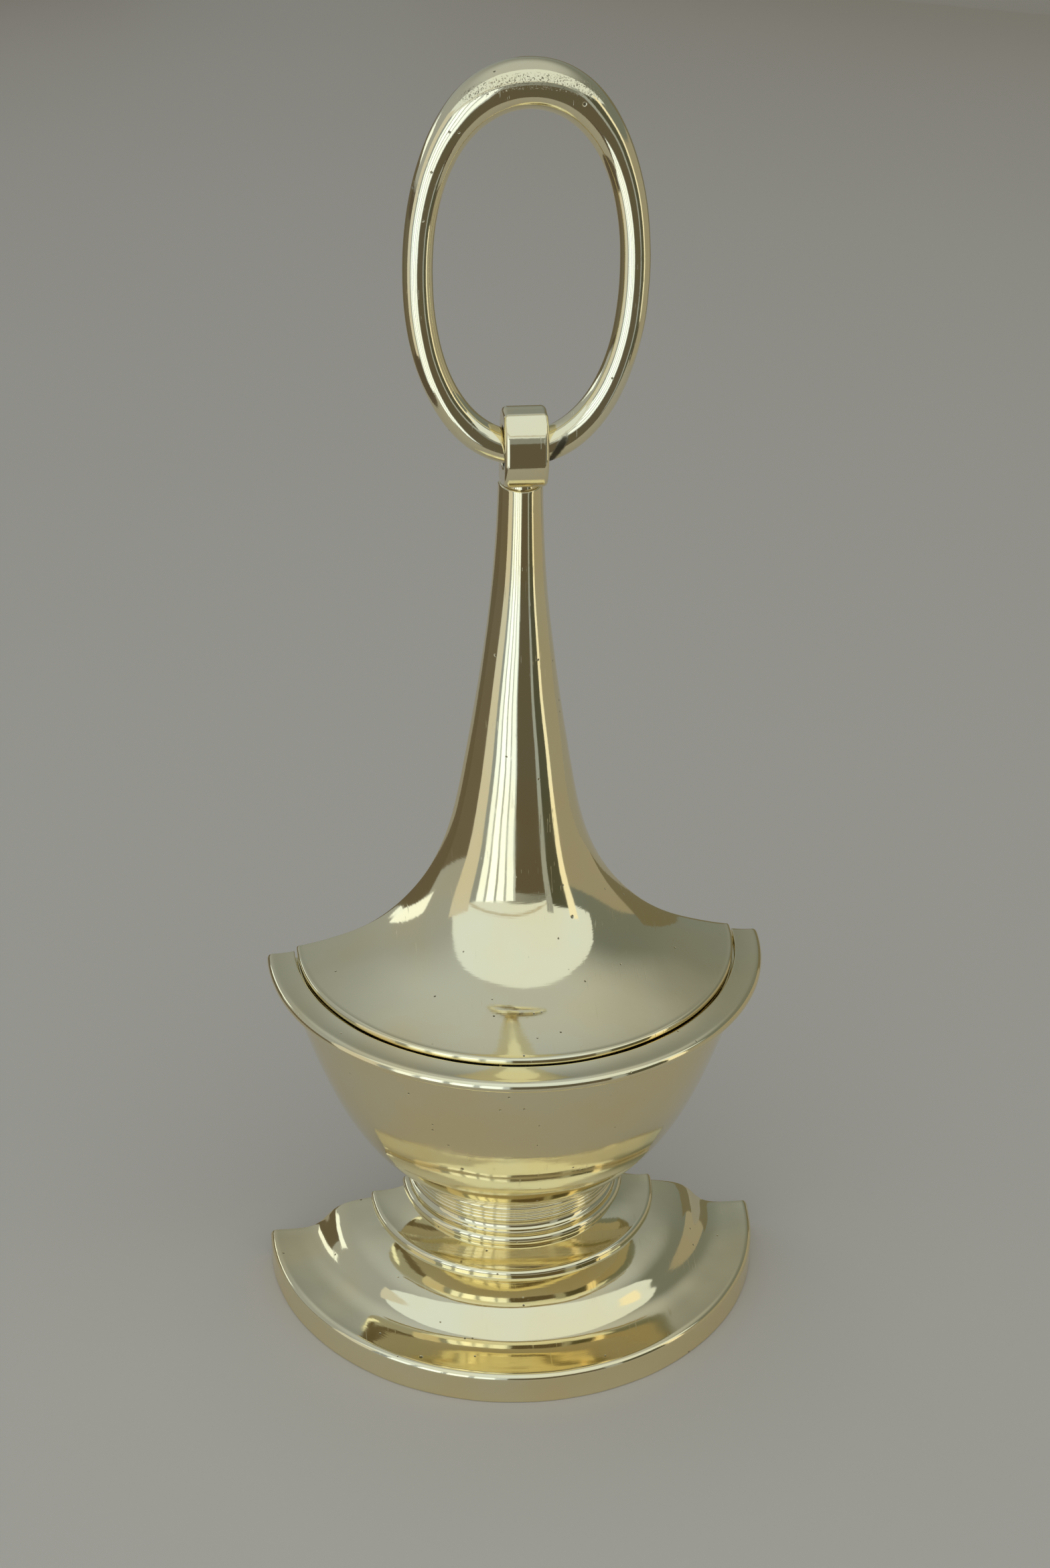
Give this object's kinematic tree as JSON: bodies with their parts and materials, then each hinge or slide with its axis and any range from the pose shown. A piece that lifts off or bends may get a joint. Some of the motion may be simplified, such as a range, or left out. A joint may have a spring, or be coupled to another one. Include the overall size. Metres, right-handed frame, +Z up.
{
  "type": "door porter",
  "caption": "Half-round polished brass door porter: urn bowl on a stepped foot, trumpet stem and an oval ring handle that swings in its eye; flat back, hollow and weighted.",
  "frame": {"origin": "centre of the footprint on the floor", "axes": "+Z up; -Y is the turned front and +Y the flat back; +X to the right seen from the front"},
  "size_m": [0.16, 0.08, 0.3977],
  "materials": {
    "brass_castings": "bright hand-polished cast brass",
    "brass_handle": "bright polished brass, worn on top",
    "lead": "dull poured lead",
    "iron": "dark wrought iron with light rust"
  },
  "bodies": {
    "porter": {"foot": "brass_castings", "bowl": "brass_castings", "cover": "brass_castings", "eye": "brass_handle", "foot_ballast": "lead", "bowl_ballast": "lead", "tie_rod": "iron", "tie_washer": "iron", "tie_nut": "iron"},
    "ring_handle": {"ring": "brass_handle"}
  },
  "joints": [
    {"name": "ring_swing", "type": "hinge", "parent": "porter", "child": "ring_handle", "pos_m": [0, 0.0316, 0.2887], "axis": [1, 0, 0], "range_deg": [-170, 171]}
  ]
}
